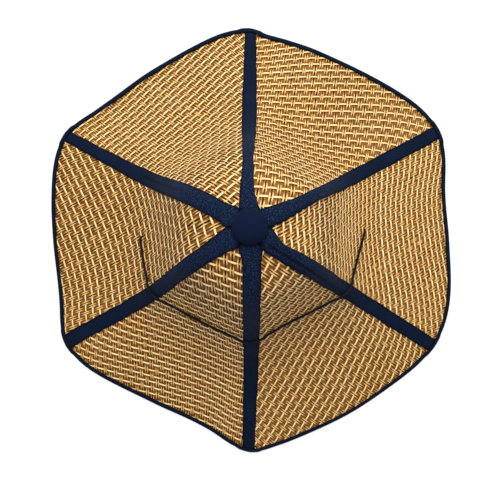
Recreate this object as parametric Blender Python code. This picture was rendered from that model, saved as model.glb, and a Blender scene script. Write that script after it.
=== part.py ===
import math

import bmesh
import bpy
from mathutils import Vector

for item in list(bpy.data.objects):
    bpy.data.objects.remove(item, do_unlink=True)

# Outside of the straw, measured along the middle of a panel.
HEAD_RADIUS = 0.0850
BRIM_RADIUS = 0.1665
SHOULDER_RADIUS = 0.0424
SHOULDER_BLEND = 0.0148
HEAD_BLEND = 0.0420
APEX_ROUND = 0.0300
TOP_SLOPE = math.radians(33.0)
WALL_SLOPE = math.radians(69.0)
BRIM_SLOPE = math.radians(21.5)

# Six-sided section: corner radius over mid-panel radius, and how tight the corner is.
CROWN_CORNER_RATIO = 1.120
BRIM_CORNER_RATIO = 1.083
CORNER_TIGHT = 40.0

# Where the soft brim strays from a regular one: azimuth in degrees, share of the brim radius.
BRIM_STRAY_SHARES = (
    (-15.0, 0.022),
    (0.0, 0.011),
    (15.0, -0.006),
    (30.0, 0.026),
    (50.0, 0.032),
    (70.0, 0.006),
    (84.0, -0.028),
    (91.0, -0.010),
    (120.0, -0.004),
    (140.0, -0.030),
    (151.0, 0.002),
    (168.0, 0.010),
    (180.0, 0.000),
    (198.0, -0.028),
    (210.0, -0.006),
    (240.0, -0.038),
    (258.0, -0.058),
    (270.0, -0.007),
    (278.0, -0.010),
    (300.0, 0.017),
    (325.0, -0.006),
    (345.0, 0.022),
    (360.0, 0.011),
    (375.0, -0.006),
)

PANEL_THICK = 0.0014
PANEL_ROWS = 34
APEX_HOLE_RADIUS = 0.0032

TAPE_WIDTH = 0.0116
TAPE_THICK = 0.0008
TAPE_TIP = 0.0050
TAPE_INSET = 0.0015
TAPE_ROW_GAP = 0.0015

BIND_WIDTH = 0.0028
BIND_THICK = 0.0009
BIND_FLAT = 0.0020
BIND_CLEAR = 0.0025
BIND_RAMP = 0.0045

BUTTON_RADIUS = 0.0109
BUTTON_DOME = 0.0060
BUTTON_RIM = 0.0016
BUTTON_EDGE = 0.0006
BUTTON_TUCK = 0.0005
BUTTON_CLOTH = 0.0005
BUTTON_METAL = 0.0005
BUTTON_LIP = 0.0022
BUTTON_SIDES = 28
DOME_STEPS = 7
PLATE_THICK = 0.0008
POST_RADIUS = 0.0016
PEEN_RADIUS = 0.0030
PEEN_TOP_RADIUS = 0.0024
PEEN_RISE = 0.0008
PEEN_CROWN = 0.0010
FLANGE_RADIUS = 0.0045
FLANGE_THICK = 0.0010
WASHER_RADIUS = 0.0080

SWEAT_DROP = 0.0080
SWEAT_WIDTH = 0.0270
SWEAT_THICK = 0.0009
SWEAT_GAP = 0.0005
SWEAT_ROWS = 4

CORD_RADIUS = 0.0010
CORD_BEND = 0.0024
CORD_BEND_STEPS = 4
CORD_STEP = 0.0050
CORD_CLEAR = 0.0008
CORD_RAMP = 0.0040
CORD_LEAD = 0.0075
CORD_START = 0.0038
KNOT_RADIUS = 0.0025
KNOT_LENGTH = 0.0042
KNOT_SHOULDER = 0.0005
KNOT_ROUND = 0.0015
KNOT_TAIL = 0.0014
HOLE_DEPTH = 0.0120
HOLE_SIDES = 20

GAP = 0.0003
SEAM_GAP = 0.0004

SIXTH = math.pi / 3.0
HALF_SIXTH = 0.5 * SIXTH
TABLE_STEP = 0.0001
TABLE_TOLERANCE = 0.0000001
MERGE_DISTANCE = 0.000001
PROBE_STEP = 0.0002
PROBE_TURN = 0.0005
SHARP_ANGLE = math.radians(40.0)
KNOT_SHOULDER_SHARE = 0.8
LATERAL = (-1.0, -0.935, -0.87, -0.70, -0.40, 0.0, 0.40, 0.70, 0.87, 0.935)

PANELS = (
    ("panel_right", 0.0),
    ("panel_back_right", 60.0),
    ("panel_back_left", 120.0),
    ("panel_left", 180.0),
    ("panel_front_left", 240.0),
    ("panel_front_right", 300.0),
)

# Each tape's seam, then how far it lies off that seam and how wide it is, as shares of the tape
# width, at five places given as shares of the brim radius.
TAPE_KNOT_SHARES = (0.078, 0.12, 0.22, 0.51, 0.93)
TAPES = (
    ("seam_tape_back_right", 30.0, (0.0, -0.14, -0.18, 0.00, -0.03), (1.5, 1.08, 0.70, 0.95, 0.98)),
    ("seam_tape_back", 90.0, (0.0, 0.18, 0.12, 0.05, -0.03), (1.5, 0.87, 0.60, 0.99, 0.84)),
    ("seam_tape_back_left", 150.0, (0.0, 0.01, 0.02, 0.07, 0.12), (1.5, 1.12, 1.10, 1.01, 0.84)),
    ("seam_tape_front_left", 210.0, (0.0, -0.03, 0.03, 0.02, -0.24), (1.5, 1.22, 0.97, 1.03, 1.07)),
    ("seam_tape_front", 270.0, (0.0, 0.11, 0.10, 0.08, -0.09), (1.5, 1.14, 1.02, 1.02, 0.91)),
    ("seam_tape_front_right", 330.0, (0.0, -0.34, -0.24, 0.05, -0.01), (1.5, 1.02, 1.02, 1.01, 0.99)),
)

# Cord route round the front: azimuth in degrees, share of the head radius.
CORD_ROUTE_SHARES = (
    (180.0, 0.985),
    (192.0, 0.950),
    (205.0, 0.903),
    (218.0, 0.876),
    (240.0, 0.858),
    (268.0, 0.821),
    (290.0, 0.811),
    (310.0, 0.832),
    (326.0, 0.856),
    (336.0, 0.897),
    (350.0, 0.967),
    (364.0, 1.049),
)

# Colour, roughness and metallic value of each material.
STRAW = ((0.56, 0.37, 0.15), 0.6, 0.0)
TAPE_CLOTH = ((0.012, 0.020, 0.045), 0.85, 0.0)
BIND_CLOTH = ((0.010, 0.016, 0.036), 0.85, 0.0)
BUTTON_FABRIC = ((0.010, 0.018, 0.046), 0.7, 0.0)
BAND_COTTON = ((0.016, 0.024, 0.050), 0.9, 0.0)
PRESSED_STEEL = ((0.55, 0.55, 0.56), 0.35, 1.0)
PLATE_STEEL = ((0.50, 0.50, 0.51), 0.4, 1.0)
ELASTIC = ((0.012, 0.012, 0.013), 0.8, 0.0)


def smooth(x):
    x = min(max(x, 0.0), 1.0)
    return x * x * (3.0 - 2.0 * x)


def readTable(table, x):
    last = len(table) - 1
    part = 0
    while part < last - 1 and table[part + 1][0] < x:
        part += 1

    def grade(spot):
        low = table[max(spot - 1, 0)]
        high = table[min(spot + 1, last)]
        return (high[1] - low[1]) / (high[0] - low[0])

    start, low = table[part]
    end, high = table[part + 1]
    span = end - start
    x = (x - start) / span
    rest = 1.0 - x
    value = low * (1.0 + 2.0 * x) * rest * rest + high * smooth(x)
    return value + span * x * rest * (grade(part) * rest - grade(part + 1) * x)


def slope(r):
    wall = smooth((r - SHOULDER_RADIUS + SHOULDER_BLEND) / (2.0 * SHOULDER_BLEND))
    flare = smooth((r - HEAD_RADIUS + HEAD_BLEND) / (2.0 * HEAD_BLEND))
    angle = TOP_SLOPE + (WALL_SLOPE - TOP_SLOPE) * wall - (WALL_SLOPE - BRIM_SLOPE) * flare
    return angle * smooth(r / APEX_ROUND)


# Height of the panel edge that lets the binding stand on the floor.
edgeHeight = (PANEL_THICK + GAP + BIND_THICK) * math.cos(BRIM_SLOPE)
edgeHeight += (GAP + BIND_THICK - BIND_FLAT) * math.sin(BRIM_SLOPE)

# How far the outside has dropped below the apex, and its length along the slope, per radius.
tableCount = int(BRIM_RADIUS / TABLE_STEP) + 2
drops = [0.0]
arcs = [0.0]
for index in range(1, tableCount):
    angle = slope((index - 0.5) * TABLE_STEP)
    drops.append(drops[-1] + TABLE_STEP * math.tan(angle))
    arcs.append(arcs[-1] + TABLE_STEP / math.cos(angle))


def lookup(table, r):
    place = max(r / TABLE_STEP, 0.0)
    low = min(int(place), tableCount - 2)
    part = min(place - low, 1.0)
    return table[low] * (1.0 - part) + table[low + 1] * part


apexHeight = edgeHeight + lookup(drops, BRIM_RADIUS)


def height(r):
    return apexHeight - lookup(drops, r)


def radiusAtArc(length):
    low = 0.0
    high = BRIM_RADIUS
    while high - low > TABLE_TOLERANCE:
        middle = 0.5 * (low + high)
        if lookup(arcs, middle) < length:
            low = middle
        else:
            high = middle
    return 0.5 * (low + high)


def fromPanelMiddle(azimuth):
    return (azimuth + HALF_SIXTH) % SIXTH - HALF_SIXTH


def reachAt(r, azimuth):
    share = smooth((r - HEAD_RADIUS) / (BRIM_RADIUS - HEAD_RADIUS))
    corner = CROWN_CORNER_RATIO + (BRIM_CORNER_RATIO - CROWN_CORNER_RATIO) * share
    sides = math.cos(fromPanelMiddle(azimuth)) ** CORNER_TIGHT + corner ** -CORNER_TIGHT
    stray = readTable(BRIM_STRAY_SHARES, math.degrees(azimuth) % 360.0)
    return r * sides ** (-1.0 / CORNER_TIGHT) + BRIM_RADIUS * stray * share


def surface(r, azimuth):
    reach = reachAt(r, azimuth)
    return Vector((reach * math.cos(azimuth), reach * math.sin(azimuth), height(r)))


def frameAt(r, azimuth):
    low = max(r - PROBE_STEP, PROBE_STEP)
    high = min(r + PROBE_STEP, BRIM_RADIUS)
    down = surface(high, azimuth) - surface(low, azimuth)
    across = surface(r, azimuth + PROBE_TURN) - surface(r, azimuth - PROBE_TURN)
    across.normalize()
    up = down.cross(across).normalized()
    out = across.cross(up).normalized()
    return up, out


def lifted(r, azimuth, offset):
    return surface(r, azimuth) + frameAt(r, azimuth)[0] * offset


def material(name, finish):
    colour, rough, metal = finish
    made = bpy.data.materials.new(name)
    made.use_nodes = True
    shader = made.node_tree.nodes["Principled BSDF"]
    shader.inputs["Base Color"].default_value = (*colour, 1.0)
    shader.inputs["Roughness"].default_value = rough
    shader.inputs["Metallic"].default_value = metal
    return made


def place(name, data, finish):
    data.materials.append(material(name + "_material", finish))
    body = bpy.data.objects.new(name, data)
    bpy.context.scene.collection.objects.link(body)
    return body


def finishMesh(bm, name):
    bmesh.ops.recalc_face_normals(bm, faces=bm.faces)
    mesh = bpy.data.meshes.new(name)
    bm.to_mesh(mesh)
    bm.free()
    mesh.shade_smooth()
    mesh.set_sharp_from_angle(angle=SHARP_ANGLE)
    return mesh


def meshFrom(name, points, faces):
    bm = bmesh.new()
    corners = [bm.verts.new(point) for point in points]
    for face in faces:
        bm.faces.new([corners[spot] for spot in face])
    return finishMesh(bm, name)


# Closed sheet between an upper and a lower grid of points.
def shell(name, topRows, lowRows):
    rows = len(topRows)
    columns = len(topRows[0])
    points = [point for row in topRows + lowRows for point in row]
    base = rows * columns

    def spot(row, column, side):
        return side * base + row * columns + column

    faces = []
    for row in range(rows - 1):
        for column in range(columns - 1):
            for side in (0, 1):
                faces.append((
                    spot(row, column, side),
                    spot(row, column + 1, side),
                    spot(row + 1, column + 1, side),
                    spot(row + 1, column, side),
                ))
    for row in range(rows - 1):
        for column in (0, columns - 1):
            faces.append((
                spot(row, column, 0),
                spot(row + 1, column, 0),
                spot(row + 1, column, 1),
                spot(row, column, 1),
            ))
    for column in range(columns - 1):
        for row in (0, rows - 1):
            faces.append((
                spot(row, column, 0),
                spot(row, column + 1, 0),
                spot(row, column + 1, 1),
                spot(row, column, 1),
            ))
    return meshFrom(name, points, faces)


# Closed ring through a row of equal cross-sections.
def hoop(name, sections):
    count = len(sections)
    sides = len(sections[0])
    points = [point for section in sections for point in section]
    faces = []
    for turn in range(count):
        after = (turn + 1) % count
        for side in range(sides):
            beside = (side + 1) % sides
            faces.append((
                turn * sides + side,
                turn * sides + beside,
                after * sides + beside,
                after * sides + side,
            ))
    return meshFrom(name, points, faces)


# Round piece turned about the hat's axis from a profile of radius and height.
def lathe(name, profile, closed=False):
    bm = bmesh.new()
    spots = [bm.verts.new((r, 0.0, z)) for r, z in profile]
    edges = [bm.edges.new(pair) for pair in zip(spots, spots[1:])]
    if closed:
        edges.append(bm.edges.new((spots[-1], spots[0])))
    bmesh.ops.spin(
        bm,
        geom=spots + edges,
        axis=(0.0, 0.0, 1.0),
        cent=(0.0, 0.0, 0.0),
        steps=BUTTON_SIDES,
        angle=2.0 * math.pi,
        use_merge=True,
    )
    bmesh.ops.remove_doubles(bm, verts=bm.verts, dist=MERGE_DISTANCE)
    return finishMesh(bm, name)


firstArc = lookup(arcs, APEX_HOLE_RADIUS)
lastArc = lookup(arcs, BRIM_RADIUS)
rowRadii = []
for row in range(PANEL_ROWS):
    rowRadii.append(radiusAtArc(firstArc + (lastArc - firstArc) * row / (PANEL_ROWS - 1)))
rowRadii[0] = APEX_HOLE_RADIUS
rowRadii[-1] = BRIM_RADIUS

# Six straw panels, each a curved gore with a narrow gap at every seam.
panelBodies = {}
for name, degrees in PANELS:
    middle = math.radians(degrees)
    topRows = []
    lowRows = []
    for r in rowRadii:
        half = HALF_SIXTH - math.asin(0.5 * SEAM_GAP / r)
        turns = [middle + share * half for share in LATERAL + (1.0,)]
        topRows.append([surface(r, turn) for turn in turns])
        lowRows.append([lifted(r, turn, -PANEL_THICK) for turn in turns])
    panelBodies[name] = place(name, shell(name, topRows, lowRows), STRAW)

# Cloth tapes over the six seams, mitred to each other under the button.
tapeEnd = BRIM_RADIUS - TAPE_INSET
tapeRadii = [r for r in rowRadii if TAPE_TIP + TAPE_ROW_GAP < r < tapeEnd - TAPE_ROW_GAP]
tapeRadii = [TAPE_TIP] + tapeRadii + [tapeEnd]


def tapeEdges(tape, r):
    share = min(max(r / BRIM_RADIUS, TAPE_KNOT_SHARES[0]), TAPE_KNOT_SHARES[-1])
    middle = TAPE_WIDTH * readTable(tuple(zip(TAPE_KNOT_SHARES, tape[2])), share)
    half = 0.5 * TAPE_WIDTH * readTable(tuple(zip(TAPE_KNOT_SHARES, tape[3])), share)
    return middle - half, middle + half


# Distance from the nearest tape's edge, negative on the tape.
def pastTape(r, azimuth):
    def turnFrom(tape):
        return (azimuth - math.radians(tape[1]) + math.pi) % (2.0 * math.pi) - math.pi

    tape = min(TAPES, key=lambda one: abs(turnFrom(one)))
    low, high = tapeEdges(tape, r)
    across = turnFrom(tape) * reachAt(r, azimuth)
    return max(low - across, across - high)


for tape in TAPES:
    name, degrees = tape[:2]
    seam = math.radians(degrees)
    topRows = []
    lowRows = []
    for r in tapeRadii:
        reach = reachAt(r, seam)
        mitre = HALF_SIXTH - math.asin(0.5 * SEAM_GAP / reach)
        low, high = tapeEdges(tape, r)
        low = max(low / reach, -mitre)
        high = min(high / reach, mitre)
        turns = [seam + low, seam + 0.5 * low, seam, seam + 0.5 * high, seam + high]
        topRows.append([lifted(r, turn, GAP + TAPE_THICK) for turn in turns])
        lowRows.append([lifted(r, turn, GAP) for turn in turns])
    place(name, shell(name, topRows, lowRows), TAPE_CLOTH)

# Folded binding round the brim, lifted over the tape ends, flat where it meets the floor.
sections = []
for name, degrees in PANELS:
    for share in LATERAL:
        turn = math.radians(degrees) + share * HALF_SIXTH
        up, out = frameAt(BRIM_RADIUS, turn)
        edge = surface(BRIM_RADIUS, turn)
        over = 1.0 - smooth((pastTape(BRIM_RADIUS, turn) - BIND_CLEAR) / BIND_RAMP)
        top = GAP + (TAPE_THICK + GAP) * over
        low = -PANEL_THICK - GAP
        nose = GAP + BIND_THICK
        spots = (
            (-BIND_WIDTH, top),
            (-BIND_WIDTH, top + BIND_THICK),
            (GAP, top + BIND_THICK),
            (nose, top),
            (nose, low - BIND_THICK + BIND_FLAT * math.tan(BRIM_SLOPE)),
            (nose - BIND_FLAT, low - BIND_THICK),
            (-BIND_WIDTH, low - BIND_THICK),
            (-BIND_WIDTH, low),
            (GAP, low),
            (GAP, top),
        )
        section = [edge + out * along + up * above for along, above in spots]
        section[4].z = 0.0
        section[5].z = 0.0
        sections.append(section)
place("brim_binding", hoop("brim_binding", sections), BIND_CLOTH)

# Sweatband inside the crown wall, just above the head line.
sweatArc = lookup(arcs, HEAD_RADIUS - SWEAT_DROP)
sweatRadii = [
    radiusAtArc(sweatArc - SWEAT_WIDTH * row / SWEAT_ROWS) for row in range(SWEAT_ROWS + 1)
]
sections = []
outerSide = -PANEL_THICK - SWEAT_GAP
for name, degrees in PANELS:
    for share in LATERAL:
        turn = math.radians(degrees) + share * HALF_SIXTH
        section = [lifted(r, turn, outerSide) for r in sweatRadii]
        section += [lifted(r, turn, outerSide - SWEAT_THICK) for r in reversed(sweatRadii)]
        sections.append(section)
place("sweatband", hoop("sweatband", sections), BAND_COTTON)

# Covered button at the apex: cloth, domed shell, closing plate, rivet and inside washer.
seat = height(TAPE_TIP) + 2.0 * GAP + TAPE_THICK
equator = seat + BUTTON_RIM


def dome(radius, rise):
    spots = []
    for step in range(DOME_STEPS):
        angle = 0.5 * math.pi * step / DOME_STEPS
        spots.append((radius * math.cos(angle), equator + rise * math.sin(angle)))
    return spots + [(0.0, equator + rise)]


clothIn = BUTTON_RADIUS - BUTTON_CLOTH
lipEnd = BUTTON_RADIUS - BUTTON_LIP
cover = dome(BUTTON_RADIUS, BUTTON_DOME)[::-1]
cover += [
    (BUTTON_RADIUS, seat + BUTTON_EDGE),
    (BUTTON_RADIUS - BUTTON_TUCK, seat),
    (lipEnd, seat),
    (lipEnd, seat + BUTTON_CLOTH),
    (clothIn, seat + BUTTON_CLOTH),
]
cover += dome(clothIn, BUTTON_DOME - BUTTON_CLOTH)
place("button_cover", lathe("button_cover", cover), BUTTON_FABRIC)

shellOut = clothIn - GAP
shellIn = shellOut - BUTTON_METAL
shellRise = BUTTON_DOME - BUTTON_CLOTH - GAP
shellLow = seat + BUTTON_CLOTH + GAP
cap = dome(shellOut, shellRise)[::-1]
cap += [(shellOut, shellLow), (shellIn, shellLow)]
cap += dome(shellIn, shellRise - BUTTON_METAL)
place("button_shell", lathe("button_shell", cap), PRESSED_STEEL)

plateRadius = lipEnd - GAP
postHole = POST_RADIUS + GAP
plate = [
    (postHole, seat),
    (plateRadius, seat),
    (plateRadius, seat + PLATE_THICK),
    (postHole, seat + PLATE_THICK),
]
place("button_back", lathe("button_back", plate, closed=True), PLATE_STEEL)

washerTop = height(WASHER_RADIUS) - PANEL_THICK / math.cos(slope(WASHER_RADIUS)) - GAP
washer = [
    (postHole, washerTop - PLATE_THICK),
    (WASHER_RADIUS, washerTop - PLATE_THICK),
    (WASHER_RADIUS, washerTop),
    (postHole, washerTop),
]
place("button_washer", lathe("button_washer", washer, closed=True), PLATE_STEEL)

headTop = washerTop - PLATE_THICK - GAP
peenLow = seat + PLATE_THICK + GAP
rivet = [
    (0.0, headTop - FLANGE_THICK),
    (FLANGE_RADIUS, headTop - FLANGE_THICK),
    (FLANGE_RADIUS, headTop),
    (POST_RADIUS, headTop),
    (POST_RADIUS, peenLow),
    (PEEN_RADIUS, peenLow),
    (PEEN_TOP_RADIUS, peenLow + PEEN_RISE),
    (0.0, peenLow + PEEN_CROWN),
]
place("button_rivet", lathe("button_rivet", rivet), PRESSED_STEEL)


def routeRadius(degrees):
    return HEAD_RADIUS * readTable(CORD_ROUTE_SHARES, degrees)


def cordPoint(degrees):
    r = routeRadius(degrees)
    turn = math.radians(degrees)
    over = 1.0 - smooth((pastTape(r, turn) - CORD_CLEAR) / CORD_RAMP)
    return lifted(r, turn, CORD_RADIUS + GAP + (TAPE_THICK + GAP) * over)


# Elastic cord: knot, through the left panel, round the front, through the right panel, knot.
leftTurn = CORD_ROUTE_SHARES[0][0]
rightTurn = CORD_ROUTE_SHARES[-1][0]
lead = math.degrees(CORD_LEAD / HEAD_RADIUS)
stops = [leftTurn + lead]
for tape in TAPES:
    seamTurn = tape[1]
    if leftTurn < seamTurn < rightTurn:
        r = routeRadius(seamTurn)
        low, high = tapeEdges(tape, r)
        low -= CORD_CLEAR
        high += CORD_CLEAR
        for across in (low - CORD_RAMP, low, 0.0, high, high + CORD_RAMP):
            stops.append(seamTurn + math.degrees(across / reachAt(r, math.radians(seamTurn))))
stops.append(rightTurn - lead)
turns = [stops[0]]
for one, two in zip(stops, stops[1:]):
    count = max(1, round(math.radians(two - one) * HEAD_RADIUS / CORD_STEP))
    for step in range(1, count + 1):
        turns.append(one + (two - one) * step / count)
routePoints = [(cordPoint(turn), 1.0) for turn in turns]


def cordEnd(degrees, toward):
    r = routeRadius(degrees)
    turn = math.radians(degrees)
    up = frameAt(r, turn)[0]
    hole = surface(r, turn)
    along = toward - hole
    along = (along - up * along.dot(up)).normalized()
    lift = CORD_RADIUS + GAP
    spots = [(CORD_START, lift, 1.0)]
    for step in range(CORD_BEND_STEPS + 1):
        angle = 0.5 * math.pi * (1.0 - step / CORD_BEND_STEPS)
        reach = CORD_BEND * (1.0 - math.cos(angle))
        level = lift - CORD_BEND * (1.0 - math.sin(angle))
        spots.append((reach, level, 1.0))
    knotTop = -PANEL_THICK - GAP
    knotLow = knotTop - KNOT_LENGTH
    girth = KNOT_RADIUS / CORD_RADIUS
    shoulder = KNOT_SHOULDER_SHARE * girth
    spots += [
        (0.0, knotTop, 1.0),
        (0.0, knotTop - KNOT_SHOULDER, shoulder),
        (0.0, knotTop - KNOT_ROUND, girth),
        (0.0, knotLow + KNOT_ROUND, girth),
        (0.0, knotLow + KNOT_SHOULDER, shoulder),
        (0.0, knotLow, 1.0),
        (0.0, knotLow - KNOT_TAIL, 1.0),
    ]
    return [(hole + along * reach + up * level, size) for reach, level, size in spots], hole, up


leftEnd, leftHole, leftUp = cordEnd(leftTurn, routePoints[0][0])
rightEnd, rightHole, rightUp = cordEnd(rightTurn, routePoints[-1][0])
cordPoints = leftEnd[::-1] + routePoints + rightEnd

curve = bpy.data.curves.new("elastic_cord", "CURVE")
curve.dimensions = "3D"
curve.bevel_depth = CORD_RADIUS
curve.bevel_resolution = 2
curve.use_fill_caps = True
spline = curve.splines.new("POLY")
spline.points.add(len(cordPoints) - 1)
for splinePoint, (point, size) in zip(spline.points, cordPoints):
    splinePoint.co = (*point, 1.0)
    splinePoint.radius = size
place("elastic_cord", curve, ELASTIC)

# Round holes in the left and right panels where the cord goes in.
for name, hole, up in (("panel_left", leftHole, leftUp), ("panel_right", rightHole, rightUp)):
    bm = bmesh.new()
    bmesh.ops.create_cone(
        bm,
        cap_ends=True,
        segments=HOLE_SIDES,
        radius1=CORD_BEND,
        radius2=CORD_BEND,
        depth=HOLE_DEPTH,
    )
    mesh = bpy.data.meshes.new(name + "_cutter")
    bm.to_mesh(mesh)
    bm.free()
    cutter = bpy.data.objects.new(name + "_cutter", mesh)
    bpy.context.scene.collection.objects.link(cutter)
    cutter.rotation_mode = "QUATERNION"
    cutter.rotation_quaternion = up.to_track_quat("Z", "Y")
    cutter.location = hole
    cutter.hide_render = True
    cutter.display_type = "WIRE"
    cut = panelBodies[name].modifiers.new("cord_hole", "BOOLEAN")
    cut.operation = "DIFFERENCE"
    cut.solver = "EXACT"
    cut.object = cutter

bpy.context.view_layer.update()
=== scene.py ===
import math

import bpy
import numpy as np
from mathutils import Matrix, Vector


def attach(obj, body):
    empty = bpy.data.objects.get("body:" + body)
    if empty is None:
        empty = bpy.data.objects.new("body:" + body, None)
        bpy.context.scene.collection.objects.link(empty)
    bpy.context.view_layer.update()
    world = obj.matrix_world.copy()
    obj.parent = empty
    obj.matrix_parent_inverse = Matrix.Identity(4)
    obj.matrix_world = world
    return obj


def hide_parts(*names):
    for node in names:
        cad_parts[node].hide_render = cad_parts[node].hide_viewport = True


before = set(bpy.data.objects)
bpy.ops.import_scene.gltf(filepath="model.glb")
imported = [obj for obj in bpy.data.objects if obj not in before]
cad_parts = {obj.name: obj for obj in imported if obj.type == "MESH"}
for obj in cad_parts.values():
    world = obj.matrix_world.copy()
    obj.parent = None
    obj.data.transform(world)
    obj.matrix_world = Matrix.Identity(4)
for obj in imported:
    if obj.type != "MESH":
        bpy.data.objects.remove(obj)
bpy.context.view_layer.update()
print("frame loaded:", len(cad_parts), "nodes")

# The hat's outside as the CAD part has it, in metres and degrees
hatForm = {
    "headRadius": 0.0850,
    "brimRadius": 0.1665,
    "shoulderRadius": 0.0424,
    "shoulderBlend": 0.0148,
    "headBlend": 0.0420,
    "apexRound": 0.0300,
    "topSlope": 33.0,
    "wallSlope": 69.0,
    "brimSlope": 21.5,
    "crownCorner": 1.120,
    "brimCorner": 1.083,
    "cornerTight": 40.0,
    "edgeHeight": 0.002126,
    "strawThick": 0.0014,
    "tapeThick": 0.0008,
    "apexHole": 0.0032,
    "seamGap": 0.0004,
    "gap": 0.0003,
    "gridStep": 0.0001,
    "turnStep": 0.0005,
    "brimStray": (  # azimuth, share of the brim radius
        (-15, 0.022), (0, 0.011), (15, -0.006), (30, 0.026), (50, 0.032), (70, 0.006),
        (84, -0.028), (91, -0.010), (120, -0.004), (140, -0.030), (151, 0.002), (168, 0.010),
        (180, 0.000), (198, -0.028), (210, -0.006), (240, -0.038), (258, -0.058), (270, -0.007),
        (278, -0.010), (300, 0.017), (325, -0.006), (345, 0.022), (360, 0.011), (375, -0.006),
    ),
}
brimRadius, headRadius, strawThick, tapeThick, gap, gridStep = (
    hatForm[key] for key in ("brimRadius", "headRadius", "strawThick", "tapeThick", "gap", "gridStep")
)
sixth = math.pi / 3.0
mm = 0.001
phaseRange = 6.3  # a random wave starts somewhere in this many radians


def smoothStep(x):
    x = np.clip(x, 0.0, 1.0)
    return x * x * (3.0 - 2.0 * x)


def bell(x):
    return np.exp(-(x**2))


def roundTurns(count):
    return 2.0 * math.pi * np.arange(count) / count


def unit(vectors):
    return vectors / np.linalg.norm(vectors, axis=-1, keepdims=True)


# Length from the start of a path to each of its points, and the points at given lengths
def lengthsAlong(points):
    return np.concatenate(([0.0], np.cumsum(np.linalg.norm(np.diff(points, axis=0), axis=1))))


def pointsAt(spots, lengths, points):
    return np.stack([np.interp(spots, lengths, points[:, axis]) for axis in range(3)], axis=1)


def columnOf(values, count):
    return np.broadcast_to(values, (count,))[:, None]


def fieldsOf(shape, *values):
    return np.stack([np.broadcast_to(value, shape) for value in values], axis=-1)


# Smooth curve through a table of places and values
def readTable(table, x):
    spots, values = np.array(table, float).T
    grades = np.empty_like(values)
    grades[1:-1] = (values[2:] - values[:-2]) / (spots[2:] - spots[:-2])
    grades[0] = (values[1] - values[0]) / (spots[1] - spots[0])
    grades[-1] = (values[-1] - values[-2]) / (spots[-1] - spots[-2])
    part = np.clip(np.searchsorted(spots, x) - 1, 0, len(spots) - 2)
    span = spots[part + 1] - spots[part]
    x = (x - spots[part]) / span
    rest = 1.0 - x
    value = values[part] * (1.0 + 2.0 * x) * rest * rest + values[part + 1] * x * x * (3.0 - 2.0 * x)
    return value + span * x * rest * (grades[part] * rest - grades[part + 1] * x)


def slopeAt(r):
    form = hatForm
    wall = smoothStep((r - form["shoulderRadius"] + form["shoulderBlend"]) / (2.0 * form["shoulderBlend"]))
    flare = smoothStep((r - headRadius + form["headBlend"]) / (2.0 * form["headBlend"]))
    angle = form["topSlope"] + (form["wallSlope"] - form["topSlope"]) * wall
    angle = angle - (form["wallSlope"] - form["brimSlope"]) * flare
    return np.radians(angle) * smoothStep(r / form["apexRound"])


# Drop below the apex and length along the slope, both against the radius
gridRadii = np.arange(int(brimRadius / gridStep) + 2) * gridStep
gridSlopes = slopeAt(gridRadii[1:] - 0.5 * gridStep)
gridDrops = np.concatenate(([0.0], np.cumsum(gridStep * np.tan(gridSlopes))))
gridArcs = np.concatenate(([0.0], np.cumsum(gridStep / np.cos(gridSlopes))))
apexHeight = hatForm["edgeHeight"] + np.interp(brimRadius, gridRadii, gridDrops)


def heightAt(r):
    return apexHeight - np.interp(r, gridRadii, gridDrops)


def arcAt(r):
    return np.interp(r, gridRadii, gridArcs)


def radiusAtArc(length):
    return np.interp(length, gridArcs, gridRadii)


def reachAt(r, azimuth):
    form = hatForm
    share = smoothStep((r - headRadius) / (brimRadius - headRadius))
    corner = form["crownCorner"] + (form["brimCorner"] - form["crownCorner"]) * share
    phi = (azimuth + 0.5 * sixth) % sixth - 0.5 * sixth
    tight = form["cornerTight"]
    sides = np.cos(phi) ** tight + corner ** -tight
    stray = readTable(form["brimStray"], np.degrees(azimuth) % 360.0)
    return r * sides ** (-1.0 / tight) + brimRadius * stray * share


def surfaceAt(r, azimuth):
    r, azimuth = np.broadcast_arrays(np.asarray(r, float), np.asarray(azimuth, float))
    reach = reachAt(r, azimuth)
    return np.stack((reach * np.cos(azimuth), reach * np.sin(azimuth), heightAt(r)), axis=-1)


# Directions away from the surface, down its slope and round the hat
def frameAt(r, azimuth):
    step = 2.0 * gridStep
    turn = hatForm["turnStep"]
    low = np.maximum(r - step, step)
    high = np.minimum(r + step, brimRadius)
    down = surfaceAt(high, azimuth) - surfaceAt(low, azimuth)
    across = unit(surfaceAt(r, azimuth + turn) - surfaceAt(r, azimuth - turn))
    up = unit(np.cross(down, across))
    return up, unit(np.cross(across, up)), across


def liftedAt(r, azimuth, offset):
    up = frameAt(r, azimuth)[0]
    return surfaceAt(r, azimuth) + up * np.asarray(offset, float)[..., None]


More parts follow.
